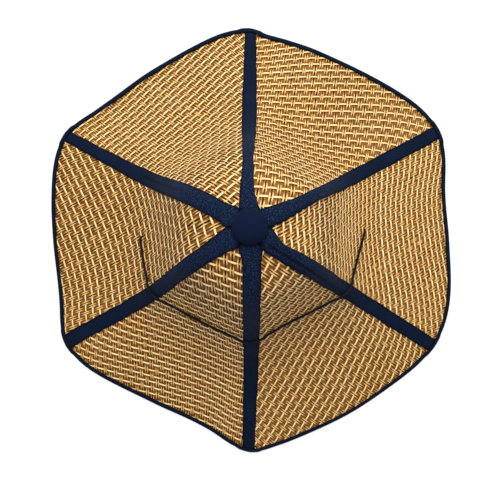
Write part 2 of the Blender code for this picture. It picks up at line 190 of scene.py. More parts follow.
# Each tape's seam azimuth, then how far it lies off the seam and its width, as shares of the tape width
tapeWidth = 0.0116
tapeKnots = (0.068, 0.090, 0.12, 0.22, 0.51, 0.93)  # shares of the brim radius
tapeShapes = {
    "seam_tape_back_right": (
        30.0, (0.0, -0.07, -0.14, -0.18, 0.00, -0.03), (1.4, 1.22, 1.08, 0.70, 0.95, 0.98),
    ),
    "seam_tape_back": (
        90.0, (0.0, 0.12, 0.18, 0.12, 0.05, -0.03), (1.4, 1.12, 0.87, 0.60, 0.99, 0.84),
    ),
    "seam_tape_back_left": (
        150.0, (0.0, 0.04, 0.01, 0.02, 0.07, 0.12), (1.6, 1.43, 1.12, 1.10, 1.01, 0.84),
    ),
    "seam_tape_front_left": (
        210.0, (0.0, -0.02, -0.03, 0.03, 0.02, -0.24), (1.6, 1.48, 1.22, 0.97, 1.03, 1.07),
    ),
    "seam_tape_front": (
        270.0, (0.0, 0.05, 0.11, 0.10, 0.08, -0.09), (1.6, 1.53, 1.14, 1.02, 1.02, 0.91),
    ),
    "seam_tape_front_right": (
        330.0, (0.0, -0.17, -0.34, -0.24, 0.05, -0.01), (1.6, 1.32, 1.02, 1.02, 1.01, 0.99),
    ),
}


def tapeEdges(node, r):
    share = np.clip(r / brimRadius, tapeKnots[0], tapeKnots[-1])
    rows = tapeShapes[node][1:]
    middle, width = (tapeWidth * readTable(tuple(zip(tapeKnots, row)), share) for row in rows)
    return middle - 0.5 * width, middle + 0.5 * width


# Distance from the nearest tape's edge, negative on the tape
def pastTape(r, azimuth):
    reach = reachAt(r, azimuth)
    nearest = np.full(np.shape(azimuth), np.inf)
    for node, shape in tapeShapes.items():
        low, high = tapeEdges(node, r)
        turn = (azimuth - math.radians(shape[0]) + math.pi) % (2.0 * math.pi) - math.pi
        nearest = np.minimum(nearest, np.maximum(low - turn * reach, turn * reach - high))
    return nearest


# Camera: straight down, a little in front of the axis, framed as in the photograph
photoCamera = {
    "height": 0.453,
    "forward": 0.0262,
    "focalPixels": 530.0,
    "imagePixels": 500.0,
    "hatCentreRow": 240.0,
    "sensor": 36.0,
    "clipStart": 0.01,
}


def placeCamera():
    setup = photoCamera
    data = bpy.data.cameras.new("photoCamera")
    data.sensor_width = setup["sensor"]
    data.lens = setup["sensor"] * setup["focalPixels"] / setup["imagePixels"]
    axisRow = setup["hatCentreRow"] + setup["focalPixels"] * setup["forward"] / setup["height"]
    data.shift_y = (axisRow - 0.5 * setup["imagePixels"]) / setup["imagePixels"]
    data.clip_start = setup["clipStart"]
    camera = bpy.data.objects.new("photoCamera", data)
    camera.location = (0.0, -setup["forward"], setup["height"])
    bpy.context.scene.collection.objects.link(camera)
    bpy.context.scene.camera = camera


placeCamera()
print("camera placed")

# Room in the bake map: lengths in millimetres, then shares of a tube's girth
bakeMap = {
    "margin": 0.4,
    "slack": 1.05,
    "shortest": 0.01,
    "capSize": 0.11,
    "capShift": 0.15,
    "capRises": (0.25, 0.6),
}


# Hank: closed tubes of any section gathered into one mesh
def newHank():
    return {"points": [], "faces": [], "places": [], "looks": [], "kinds": [], "ribbons": [], "count": 0}


# Rings run round the way they are stacked; places and looks are three numbers for each point
def addRings(hank, rings, places, looks, kind=0, closed=False, underKind=None):
    rows, sides = rings.shape[:2]
    base = hank["count"]
    row = np.arange(rows if closed else rows - 1)[:, None]
    spot = np.arange(sides)[None, :]
    here = base + row * sides
    after = base + (row + 1) % rows * sides
    beside = (spot + 1) % sides
    quads = np.stack((here + spot, here + beside, after + beside, after + spot), axis=-1)
    kinds = np.full(quads.shape[:2], kind)
    if underKind is not None:
        kinds[:, sides // 2 :] = underKind
    hank["faces"].extend(quads.reshape(-1, 4).tolist())
    hank["kinds"].extend(kinds.ravel().tolist())
    if not closed:
        last = base + (rows - 1) * sides
        hank["faces"].extend((list(range(base + sides - 1, base - 1, -1)), list(range(last, last + sides))))
        hank["kinds"].extend((kind, kind))
    loop = np.concatenate((rings, rings[:1])) if closed else rings
    steps = np.linalg.norm(np.diff(loop, axis=0), axis=2).mean(axis=1)
    along = np.concatenate(([0.0], np.cumsum(np.maximum(steps, bakeMap["shortest"] * mm)))) / mm
    girth = np.linalg.norm(rings - np.roll(rings, 1, axis=1), axis=2).sum(axis=1).mean() / mm
    for key, values in (("points", rings), ("places", places), ("looks", looks)):
        hank[key].append(values.reshape(-1, 3))
    hank["ribbons"].append((along, sides, girth, closed))
    hank["count"] += rows * sides


# The underside can get painted shade, given by its share along the strand, and then has the second material
def addStrand(hank, centre, up, halfWidth, halfThick, seed, tone, hollowShade, kind=0, sides=8, under=None):
    count = len(centre)
    tangent = unit(np.gradient(centre, axis=0))
    side = unit(np.cross(up, tangent))
    normal = np.cross(tangent, side)
    theta = roundTurns(sides)
    wide = columnOf(halfWidth, count)[..., None]
    thick = columnOf(halfThick, count)[..., None]
    rings = centre[:, None, :] + side[:, None, :] * wide * np.cos(theta)[:, None]
    rings = rings + normal[:, None, :] * thick * np.sin(theta)[:, None]
    shape = (count, sides)
    places = fieldsOf(shape, lengthsAlong(centre)[:, None] / mm, np.arange(sides) / sides, seed)
    # Painted shade on the strand's flanks and underside, none on its top
    flank = 1.0 - np.clip(np.sin(theta), 0.0, 1.0) ** 2
    looks = fieldsOf(shape, columnOf(tone, count), columnOf(hollowShade, count), flank)
    if under is not None:
        looks[:, sides // 2 + 1 :, 2] = under[:, None]
    addRings(hank, rings, places, looks, kind, underKind=None if under is None else 1)


# Ribbons laid side by side in shelves, so that every tube has its own room in the bake map
def packRibbons(ribbons):
    margin = bakeMap["margin"]
    lengths = np.array([along[-1] + 2.0 * margin + girth / 2.0 for along, sides, girth, closed in ribbons])
    heights = np.array([girth + margin for along, sides, girth, closed in ribbons])
    shelfLength = max(lengths.max(), math.sqrt((lengths * heights).sum()) * bakeMap["slack"])
    shelves = []  # room left, floor, height
    spots = [None] * len(ribbons)
    top = 0.0
    for index in np.lexsort((-lengths, -np.round(heights, 1))):
        fits = (s for s in shelves if s[0] >= lengths[index] and s[2] >= heights[index])
        shelf = next(fits, None)
        if shelf is None:
            shelf = [shelfLength, top, heights[index]]
            shelves.append(shelf)
            top += heights[index]
        spots[index] = (shelfLength - shelf[0] + margin, shelf[1])
        shelf[0] -= lengths[index]
    places = []
    for (along, sides, girth, closed), (x, y) in zip(ribbons, spots):
        turn = np.arange(sides + 1) / sides * girth
        grid = np.stack(np.meshgrid(x + along, y + turn, indexing="ij"), axis=-1)
        quads = np.stack((grid[:-1, :-1], grid[:-1, 1:], grid[1:, 1:], grid[1:, :-1]), axis=2)
        places.append(quads.reshape(-1, 2))
        if closed:
            continue
        theta = roundTurns(sides)
        disc = np.stack((np.cos(theta), np.sin(theta)), axis=-1) * girth * bakeMap["capSize"]
        for cap, rise in zip((disc[::-1], disc), bakeMap["capRises"]):
            places.append(cap + (x + along[-1] + girth * bakeMap["capShift"], y + girth * rise))
    return np.concatenate(places) / max(shelfLength, top)


def showHank(name, hank, materials, node):
    mesh = bpy.data.meshes.new(name)
    mesh.from_pydata(np.concatenate(hank["points"]).tolist(), [], hank["faces"])
    for material in materials:
        mesh.materials.append(material)
    mesh.polygons.foreach_set("material_index", hank["kinds"])
    for title, values in (("surfacePlace", hank["places"]), ("surfaceLook", hank["looks"])):
        layer = mesh.attributes.new(title, "FLOAT_VECTOR", "POINT")
        layer.data.foreach_set("vector", np.concatenate(values).ravel())
    bake = mesh.uv_layers.new(name="OFBake")
    bake.data.foreach_set("uv", packRibbons(hank["ribbons"]).ravel())
    mesh.shade_smooth()
    mesh.update()
    piece = bpy.data.objects.new(name, mesh)
    bpy.context.scene.collection.objects.link(piece)
    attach(piece, "root")
    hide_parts(node)
    return len(mesh.polygons)


# Shader helpers; a socket is fed by another socket, a colour or a number
def feed(tree, socket, value):
    if isinstance(value, bpy.types.NodeSocket):
        tree.links.new(value, socket)
    else:
        socket.default_value = (*value, 1.0) if isinstance(value, tuple) else value


def addNode(tree, kind, **values):
    node = tree.nodes.new(kind)
    for key, value in values.items():
        setattr(node, key, value)
    return node


def mathNode(tree, operation, *values):
    node = addNode(tree, "ShaderNodeMath", operation=operation)
    for socket, value in zip(node.inputs, values):
        feed(tree, socket, value)
    return node.outputs[0]


def times(tree, first, second):
    return mathNode(tree, "MULTIPLY", first, second)


def blendColours(tree, factor, first, second, blend="MIX"):
    node = addNode(tree, "ShaderNodeMix", data_type="RGBA", blend_type=blend)
    for spot, value in ((0, factor), (6, first), (7, second)):
        feed(tree, node.inputs[spot], value)
    return node.outputs[2]


def mapRange(tree, value, *limits):
    node = addNode(tree, "ShaderNodeMapRange")
    for socket, number in zip(node.inputs, (value, *limits)):
        feed(tree, socket, number)
    return node.outputs["Result"]


def noiseAt(tree, vector, scale, detail=2.0, rough=0.5):
    node = addNode(tree, "ShaderNodeTexNoise")
    for title, value in (("Vector", vector), ("Scale", scale), ("Detail", detail), ("Roughness", rough)):
        feed(tree, node.inputs[title], value)
    return node.outputs["Fac"]


def splitVector(tree, vector):
    node = addNode(tree, "ShaderNodeSeparateXYZ")
    feed(tree, node.inputs[0], vector)
    return node.outputs


def joinVector(tree, *values):
    node = addNode(tree, "ShaderNodeCombineXYZ")
    for socket, value in zip(node.inputs, values):
        feed(tree, socket, value)
    return node.outputs[0]


def attributeOf(tree, name):
    return addNode(tree, "ShaderNodeAttribute", attribute_name=name).outputs["Vector"]


# Effects shared by the materials are groups that take a place and some numbers
def newGroup(name, numbers, results):
    tree = bpy.data.node_groups.new(name, "ShaderNodeTree")
    tree.interface.new_socket(name="Place", in_out="INPUT", socket_type="NodeSocketVector")
    for titles, side in ((numbers, "INPUT"), (results, "OUTPUT")):
        for title in titles:
            tree.interface.new_socket(name=title, in_out=side, socket_type="NodeSocketFloat")
    return tree, addNode(tree, "NodeGroupInput").outputs, addNode(tree, "NodeGroupOutput").inputs


def useGroup(tree, group, **values):
    node = addNode(tree, "ShaderNodeGroup", node_tree=group)
    feed(tree, node.inputs["Place"], attributeOf(tree, "surfacePlace"))
    for title, value in values.items():
        feed(tree, node.inputs[title], value)
    return node.outputs


# Lengthwise streaks of twisted paper, rubber yarn and thread
fibreStreaks = {
    "seedShift": 37.0,
    "scale": 1.0,
    "detail": 4.0,
    "rough": 0.6,
    "range": (0.3, 0.7),
}


def makeFibreGrain():
    setup = fibreStreaks
    tree, into, out = newGroup("fibreGrain", ("Along", "Around"), ("Streak", "Height"))
    along, around, seed = splitVector(tree, into["Place"])
    circle = times(tree, around, 2.0 * math.pi)
    shift = times(tree, seed, setup["seedShift"])
    rounded = [times(tree, mathNode(tree, wave, circle), into["Around"]) for wave in ("COSINE", "SINE")]
    shifted = [mathNode(tree, "ADD", spot, shift) for spot in rounded]
    joined = joinVector(tree, *shifted, times(tree, along, into["Along"]))
    grain = noiseAt(tree, joined, setup["scale"], setup["detail"], setup["rough"])
    feed(tree, out["Streak"], mapRange(tree, grain, *setup["range"]))
    feed(tree, out["Height"], grain)
    return tree


# Diagonal thread lines of a twill, with uneven dye and lint; Place is in millimetres
twillLines = {
    "driftScale": 0.9,
    "drift": 0.9,
    "diagonal": (2.0, 0.35),  # half waves in a pitch, share of the height
    "threads": (3.0, 0.15),
    "dyeScale": 2.2,
    "dyeDetail": 3.0,
    "dyeRange": (0.35, 0.65),
    "dyeHeight": 0.2,
    "lintScale": 1.5,
    "lintDetail": 1.0,
    "lintRange": (0.55, 0.72),
}


def makeTwillGrain():
    setup = twillLines
    tree, into, out = newGroup("twillGrain", ("Pitch", "Slant"), ("Tone", "Height", "Fleck"))
    place = into["Place"]
    across, along = splitVector(tree, place)[:2]
    drift = times(tree, noiseAt(tree, place, setup["driftScale"]), setup["drift"])
    slanted = mathNode(tree, "ADD", times(tree, across, into["Slant"]), along)
    lines = 0.5
    for spot, (pace, share) in (
        (mathNode(tree, "ADD", slanted, drift), setup["diagonal"]), (across, setup["threads"]),
    ):
        cycles = mathNode(tree, "DIVIDE", spot, into["Pitch"])
        wave = mathNode(tree, "SINE", times(tree, cycles, pace * math.pi))
        lines = mathNode(tree, "ADD", times(tree, wave, share), lines)
    dyed = mapRange(tree, noiseAt(tree, place, setup["dyeScale"], setup["dyeDetail"]), *setup["dyeRange"])
    lint = noiseAt(tree, place, setup["lintScale"], setup["lintDetail"])
    feed(tree, out["Tone"], times(tree, lines, dyed))
    feed(tree, out["Height"], mathNode(tree, "ADD", lines, times(tree, dyed, setup["dyeHeight"])))
    feed(tree, out["Fleck"], mapRange(tree, lint, *setup["lintRange"]))
    return tree


fibreGrain = makeFibreGrain()
twillGrain = makeTwillGrain()


def startMaterial(name, rough, gloss=0.5):
    material = bpy.data.materials.new(name)
    material.use_nodes = True
    shader = material.node_tree.nodes["Principled BSDF"]
    shader.inputs["Roughness"].default_value = rough
    shader.inputs["Specular IOR Level"].default_value = gloss
    return material, material.node_tree, shader


def addBump(tree, shader, height, strength, distance):
    bump = addNode(tree, "ShaderNodeBump")
    for title, value in (("Strength", strength), ("Distance", distance), ("Height", height)):
        feed(tree, bump.inputs[title], value)
    feed(tree, shader.inputs["Normal"], bump.outputs["Normal"])


def strandMaterial(name, look):
    material, tree, shader = startMaterial(name, look["rough"], look["gloss"])
    grain = useGroup(tree, fibreGrain, Along=look["along"], Around=look["around"])
    tone, low, flank = splitVector(tree, attributeOf(tree, "surfaceLook"))
    colour = blendColours(tree, tone, look["deep"], look["pale"])
    # The fibre streaks are the strands' own stain; the other two multiply in painted shade, where the strand
    # lies low in the weave and on its flanks and underside
    for factor, share, tint in (
        (grain["Streak"], "streak", "stain"), (low, "hollowShade", "paintedShade"), (flank, "creaseShade", "paintedShade"),
    ):
        colour = blendColours(tree, times(tree, factor, look[share]), colour, look[tint], "MULTIPLY")
    feed(tree, shader.inputs["Base Color"], colour)
    addBump(tree, shader, grain["Height"], look["bump"], look["bumpDepth"])
    return material


def clothMaterial(name, look):
    material, tree, shader = startMaterial(name, look["rough"], look["gloss"])
    for title, key in (("Weight", "sheen"), ("Roughness", "sheenRough"), ("Tint", "sheenTint")):
        feed(tree, shader.inputs["Sheen " + title], look[key])
    grain = useGroup(tree, twillGrain, Pitch=look["pitch"], Slant=look["slant"])
    rubbed, low, linty = splitVector(tree, attributeOf(tree, "surfaceLook"))
    colour = blendColours(tree, grain["Tone"], look["deep"], look["pale"])
    colour = blendColours(tree, times(tree, grain["Fleck"], linty), colour, look["fleck"])
    colour = blendColours(tree, times(tree, rubbed, look["wear"]), colour, look["worn"])
    colour = blendColours(tree, times(tree, low, look["hollowShade"]), colour, look["shade"], "MULTIPLY")
    feed(tree, shader.inputs["Base Color"], colour)
    addBump(tree, shader, grain["Height"], look["bump"], look["bumpDepth"])
    return material


# Woven straw: single cream strands over and under pairs of golden ones, on flat strips coloured dark brown as
# painted shade of the gaps
strawWeave = {
    "pairPitch": 0.0046,
    "pairSpread": 0.205,  # half the distance between the strands of a pair, as a share of the pitch
    "floatWidth": 0.00168,
    "floatNarrow": 0.8,
    "floatThick": 0.00052,
    "floatRise": 0.00042,
    "floatTop": 0.44,  # share of the pitch that a float stays up each way
    "floatDive": 0.40,
    "groundWidth": 0.00115,
    "groundFlat": 0.00130,
    "groundThick": 0.00066,
    "groundThin": 0.00050,
    "groundRise": 0.00027,
    "stripShare": 1.05,
    "stripThick": 0.00020,
    "stripLevel": -0.00060,
    "stripShade": 0.45,
    "stripSteps": 3,
    "stepsPerHalfWave": 5,
    "sides": (8, 8, 6),  # for floats, pairs and strips
    # Painted shade of strands lying low in the weave: its share halfway down for floats, pairs and strips,
    # and how fast it falls off towards the top
    "hollowShade": (0.5, 0.75, 0.5),  # darkness halfway down
    "hollowShadeFall": 0.8,
    "stretchArc": 0.0735,
    "stretchCore": 0.009,
    "stretchFade": 0.022,
    "stretchSpread": 0.9,  # share of the stretch that flattens the floats
    "tableSteps": 2600,
    "tableReach": 1.1,
    "flatLength": (-0.04, 0.23),
    "flatHalf": 0.1,
    "seamShare": 0.6,
    "toneSpread": 0.26,
    "toneWave": 0.14,
    "toneRun": 180.0,
    "toneShift": 6.0,
    "girthSpread": 0.05,
    "wander": 0.00009,
    "sway": 0.00012,
    "floatRun": 140.0,
    "groundRun": 130.0,
    "seed": 11,
}
# Azimuth, turn of the pairs and the floats from the middle line, float spacing, bow of the floats,
# how far the two straws come near each other in colour as painted light for each panel, and how far the
# crown's wall stretches the weave
strawPanels = {
    "panel_right": (0.0, 28.0, 94.5, 0.00575, 2.3, 0.15, 0.85),
    "panel_back_right": (60.0, 18.0, 121.2, 0.0068, 0.2, 0.40, 0.05),
    "panel_back_left": (120.0, 21.2, 103.3, 0.0059, 1.5, 0.25, 0.75),
    "panel_left": (180.0, 21.3, 109.2, 0.0072, 3.0, 0.10, 0.25),
    "panel_front_left": (240.0, 23.8, 102.3, 0.0063, 1.0, -0.05, 0.80),
    "panel_front_right": (300.0, 21.3, 126.5, 0.0070, 0.2, 0.30, 0.0),
}
floatKind, pairKind, stripKind = range(3)
floatLook = {
    "rough": 0.42,
    "gloss": 0.5,
    "along": 0.35,
    "around": 2.4,
    "deep": (1.00, 0.68, 0.27),
    "pale": (1.00, 0.85, 0.45),
    "streak": 0.25,
    "stain": (0.78, 0.60, 0.36),
    # Painted shade: the colour multiplied in low in the weave and on the strands' flanks
    "hollowShade": 0.5,
    "paintedShade": (0.30, 0.165, 0.05),
    "creaseShade": 0.75,
    "bump": 0.5,
    "bumpDepth": 0.00012,
}
groundLook = dict(
    floatLook,
    deep=(0.90, 0.54, 0.14),
    pale=(1.00, 0.76, 0.29),
    streak=0.55,
    stain=(0.66, 0.46, 0.24),
    along=0.3,
    # Painted shade, stronger on the pairs than on the floats
    hollowShade=0.95,
    creaseShade=1.0,
)
# The strips' dark brown is painted shade for the gaps between the pairs
stripShadeLook = dict(
    groundLook,
    gloss=0.2,
    deep=(0.15, 0.062, 0.008),
    pale=(0.30, 0.130, 0.024),
    around=6.0,
)
strawMaterials = (
    strandMaterial("creamStraw", floatLook),
    strandMaterial("goldenStraw", groundLook),
    strandMaterial("gapShadeStraw", stripShadeLook),
)


# Distance inside a panel's edge, from places down the slope and across it
def strawRoom(b, q):
    side = radiusAtArc(b) * math.tan(0.5 * sixth) - np.abs(q) - strawWeave["seamShare"] * hatForm["seamGap"]
    return np.minimum(np.minimum(b - arcAt(hatForm["apexHole"]), arcAt(brimRadius) - b), side)


# Runs of a strand that lie inside the panel, cut exactly at its edge
def insideRuns(spots, flatOf):
    room = strawRoom(*flatOf(spots))
    inside = room > 0.0
    runs = []
    for start in np.flatnonzero(inside & ~np.roll(inside, 1)):
        end = start
        while end + 1 < len(spots) and inside[end + 1]:
            end += 1
        run = list(spots[start : end + 1])
        if start > 0:
            share = room[start] / (room[start] - room[start - 1])
            run.insert(0, spots[start] - share * (spots[start] - spots[start - 1]))
        if end + 1 < len(spots):
            share = room[end] / (room[end] - room[end + 1])
            run.append(spots[end] + share * (spots[end + 1] - spots[end]))
        if len(run) > 3:
            runs.append(np.array(run))
    return runs


# Height of a strand between -1 and 1; floats stay up longer than they stay down
def groundWave(place, shift):
    return -np.cos(math.pi * (place + shift))


def floatWave(place, shift):
    fromTop = np.abs((place + shift + 1.0) % 2.0 - 1.0)
    return 1.0 - 2.0 * smoothStep((fromTop - strawWeave["floatTop"]) / strawWeave["floatDive"])


# Length along the slope against length along the weave, which the crown's wall stretches
def stretchedArcs(stretch):
    weave = strawWeave
    arcs = np.linspace(0.0, weave["tableReach"] * gridArcs[-1], weave["tableSteps"])
    fromWall = np.abs(arcs - weave["stretchArc"]) - weave["stretchCore"]
    share = 1.0 - smoothStep(fromWall / weave["stretchFade"])
    steps = np.diff(arcs) / (1.0 + stretch * share[1:])
    return np.concatenate(([0.0], np.cumsum(steps))), arcs


def wayOf(degrees):
    return np.array((math.cos(math.radians(degrees)), math.sin(math.radians(degrees))))


def wholeSteps(low, high, step):
    return range(math.floor(low / step), math.ceil(high / step) + 1)


def weavePanel(node, azimuth, groundTurn, floatTurn, columnPitch, bow, near, stretch, chance):
    weave = strawWeave
    middle = math.radians(azimuth)
    groundWay, floatWay = wayOf(groundTurn), wayOf(floatTurn)
    corners = np.array([(b, q) for b in weave["flatLength"] for q in (-weave["flatHalf"], weave["flatHalf"])])
    ranges = corners @ np.linalg.inv(np.stack((groundWay, floatWay), axis=1)).T
    lowX, lowY = ranges.min(axis=0)
    highX, highY = ranges.max(axis=0)
    pairPitch = weave["pairPitch"]
    hank = newHank()
    woven, arcs = stretchedArcs(stretch)
    loosened = np.diff(arcs) / np.diff(woven)

    def onPanel(x, y):
        b, q = groundWay[:, None] * x + floatWay[:, None] * y
        return np.interp(b + bow * q * q, woven, arcs), q

    def layRuns(spots, flatOf, waveOf, rise, widths, thicks, kind, shadeOf=None):
        seed = chance.random()
        # Painted light: the panel's near value darkens the floats and lightens the pairs and strips, for how
        # the light falls on that panel
        shade = 0.5 + (-near, near, near)[kind] + weave["toneSpread"] * chance.standard_normal()
        girth = 1.0 + weave["girthSpread"] * chance.standard_normal()
        for run in insideRuns(spots, flatOf):
            b, q = flatOf(run)
            r = radiusAtArc(b)
            turn = middle + np.arctan2(q, r)
            tops = waveOf(run)
            up = frameAt(r, turn)[0]
            centre = surfaceAt(r, turn) + up * (rise * tops - 0.5 * strawThick)[:, None]
            ripple = weave["toneWave"] * np.sin(run * weave["toneRun"] + weave["toneShift"] * seed)
            tone = np.clip(shade + ripple, 0.0, 1.0)
            share = 0.5 - 0.5 * tops
            wide = girth * (widths[0] + (widths[1] - widths[0]) * share)
            if kind == floatKind:
                wide = wide * (1.0 + weave["stretchSpread"] * (np.interp(b, arcs[1:], loosened) - 1.0))
            thick = thicks[0] + (thicks[1] - thicks[0]) * share
            # Painted shade, darker where the strand lies low in the weave
            hollowShade = np.clip(weave["hollowShade"][kind] - weave["hollowShadeFall"] * tops, 0.0, 1.0)
            # Painted shade on a strip's underside, following the wave of its pair
            under = None if shadeOf is None else weave["stripShade"] * (0.5 + 0.5 * shadeOf(run))
            sides = weave["sides"][kind]
            addStrand(hank, centre, up, 0.5 * wide, 0.5 * thick, seed, tone, hollowShade, kind, sides, under)

    alongX, alongY, alongStrip = (
        np.array(wholeSteps(low, high, step)) * step
        for low, high, step in (
            (lowX, highX, columnPitch / weave["stepsPerHalfWave"]),
            (lowY, highY, pairPitch / weave["stepsPerHalfWave"]),
            (lowX, highX, columnPitch / weave["stripSteps"]),
        )
    )
    for pair in wholeSteps(lowY, highY, pairPitch):
        layRuns(
            alongStrip,
            lambda x: onPanel(x, (pair + 0.5) * pairPitch),
            np.ones_like,
            weave["stripLevel"],
            (weave["stripShare"] * pairPitch, weave["stripShare"] * pairPitch),
            (weave["stripThick"], weave["stripThick"]),
            stripKind,
            lambda x: groundWave(x / columnPitch, pair),
        )
        for which in (-weave["pairSpread"], weave["pairSpread"]):
            y = (pair + which) * pairPitch + weave["wander"] * chance.standard_normal()
            phase = phaseRange * chance.random()
            layRuns(
                alongX,
                lambda x: onPanel(x, y + weave["sway"] * np.sin(weave["groundRun"] * x + phase)),
                lambda x: groundWave(x / columnPitch, pair),
                weave["groundRise"],
                (weave["groundWidth"], weave["groundFlat"]),
                (weave["groundThick"], weave["groundThin"]),
                pairKind,
            )
    for column in wholeSteps(lowX, highX, columnPitch):
        x = column * columnPitch + weave["wander"] * chance.standard_normal()
        phase = phaseRange * chance.random()
        layRuns(
            alongY,
            lambda y: onPanel(x + weave["sway"] * np.sin(weave["floatRun"] * y + phase), y),
            lambda y: floatWave(y / pairPitch, column),
            weave["floatRise"],
            (weave["floatWidth"], weave["floatNarrow"] * weave["floatWidth"]),
            (weave["floatThick"], weave["floatThick"]),
            floatKind,
        )
    return showHank("straw_" + node, hank, strawMaterials, node)


strawChance = np.random.default_rng(strawWeave["seed"])
for node, layout in strawPanels.items():
    print("straw woven:", node, weavePanel(node, *layout, strawChance), "faces")


# Navy cloth and thread shared by the tapes, the binding and the button
navyLook = {
    "rough": 0.85,
    "gloss": 0.06,
    "sheen": 0.03,
    "sheenRough": 0.45,
    "sheenTint": (0.30, 0.42, 0.75),
    "pitch": 0.85,
    "slant": 0.75,
    "deep": (0.0007, 0.0032, 0.0110),
    "pale": (0.0045, 0.0130, 0.0390),
    "wear": 0.10,
    "worn": (0.010, 0.024, 0.066),
    "fleck": (0.026, 0.052, 0.125),
    # Painted shade multiplied into sewn grooves, folded edges, pressed folds, tucked edges, the button's rim
    # and the sweatband's hidden side
    "hollowShade": 1.0,
    "shade": (0.12, 0.14, 0.18),
    "bump": 0.6,
    "bumpDepth": 0.00012,
}
threadLook = dict(
    floatLook,
    rough=0.6,
    gloss=0.1,
    along=1.6,
    around=1.2,
    deep=(0.0020, 0.0060, 0.0200),
    pale=(0.0070, 0.0190, 0.0600),
    stain=(0.5, 0.5, 0.5),
    # Painted shade on the thread's flanks
    paintedShade=(0.4, 0.4, 0.4),
    bumpDepth=0.00006,
)
navyCloth = clothMaterial("navyTape", navyLook)
navyThread = strandMaterial("navyThread", threadLook)
sewing = {
    "pitch": 0.0026,
    "length": 0.0020,
    "thread": 0.00014,
    "taper": (0.45, 0.95, 1.0, 0.95, 0.45),
    "sink": 0.00014,
    "dive": (-1.0, 0.35, 0.55, 0.35, -1.0),
    "sides": 6,
    "toneSpread": 0.25,
}


def yarnTone(chance):
    return float(np.clip(0.5 + sewing["toneSpread"] * chance.standard_normal(), 0.0, 1.0))


# Each stitch has two points and a way up, and dives into the cloth at both ends
def sewStitches(hank, stitches, chance):
    dive = np.array(sewing["dive"])[:, None] * sewing["sink"]
    share = np.linspace(0.0, 1.0, len(dive))[:, None]
    girth = sewing["thread"] * np.array(sewing["taper"])
    for points, up in stitches:
        centre = points[0] + (points[1] - points[0]) * share + up * dive
        tone = yarnTone(chance)
        ups = np.broadcast_to(up, centre.shape)
        addStrand(hank, centre, ups, girth, girth, chance.random(), tone, 0.0, 1, sewing["sides"])


# Stitches along a line that runs all round the hat
def stitchesRound(line, along, ups):
    stitches = []
    for first in np.arange(0.0, along[-1] - sewing["pitch"], sewing["pitch"]):
        spots = np.array((first, first + sewing["length"]))
        here = min(int(np.searchsorted(along, first)), len(ups) - 1)
        stitches.append((pointsAt(spots, along, line), ups[here]))
    return stitches


# Slow unevenness of hand-sewn cloth, about -1 to 1
def gentleWave(place, wave, chance):
    total = np.zeros_like(place)
    for part in (1.0, 1.63, 2.71):
        total = total + np.sin(2.0 * math.pi * part * place / wave + phaseRange * chance.random()) / part
    return total / 1.6


# Places on the cloth that are rubbed pale
def rubbedAt(along, wave, chance):
    return np.clip(gentleWave(along, wave, chance), 0.0, 1.0)[:, None]


# Tapes over the six seams, flared where they meet under the button
seamTapes = {
    "tip": 0.0050,
    "inset": 0.0015,
    "mitreGap": 0.00003,
    "rows": 230,
    "columns": 25,
    "lowColumns": 7,
    "lowReach": 0.97,
    "under": 0.00028,
    "edge": 0.00030,
    "body": 0.00062,
    "bodyPower": 8,
    "groovePlace": 0.80,
    "grooveDepth": 0.00016,
    "grooveWidth": 0.06,
    "grooveShade": 0.7,
    "pucker": 0.00005,
    "swell": 0.00010,
    "swellWave": 0.021,
    "swellLean": 0.6,
    "edgeWander": 0.00022,
    "edgeWaves": (0.034, 0.041),
    "edgePlace": 0.78,
    "edgeShade": 0.16,
    "rubWave": 0.060,
    "rubWidth": 0.6,
    "lintRadius": 0.085,
    "lintFade": 0.05,
    "lintLeast": 0.2,
    "foldWidth": 0.10,
    "foldDepth": 0.00014,
    "foldEnds": 0.006,
    "stitchStart": 0.0135,
    "stitchEnd": 0.004,
    "stitchSeat": 0.9,
    "seed": 23,
}
tapeFolds = {  # place across the tape, and the radii that a pressed fold runs between
    "seam_tape_front_right": (-0.40, 0.012, 0.082),
    "seam_tape_back_left": (0.08, 0.046, 0.088),
}


# Height of a tape's upper side, and how near each place is to a sewn groove
def tapeSection(x, sideways, along, chance):
    setup = seamTapes
    body = np.sqrt(np.clip(1.0 - np.abs(x) ** setup["bodyPower"], 0.0, 1.0))
    near = bell((np.abs(x) - setup["groovePlace"]) / setup["grooveWidth"])
    pucker = 1.0 + setup["pucker"] / setup["grooveDepth"] * np.cos(2.0 * math.pi * along / sewing["pitch"])
    lean = along + setup["swellLean"] * sideways
    swell = gentleWave(lean, setup["swellWave"], chance) * setup["swell"] * (1.0 - x * x)
    top = setup["under"] + setup["edge"] + setup["body"] * body
    return top - setup["grooveDepth"] * near * pucker + swell, near


def foldMark(node, x, r):
    if node not in tapeFolds:
        return 0.0
    place, first, last = tapeFolds[node]
    ends = smoothStep((r - first) / seamTapes["foldEnds"]) * smoothStep((last - r) / seamTapes["foldEnds"])
    return ends[:, None] * bell((x - place) / seamTapes["foldWidth"])


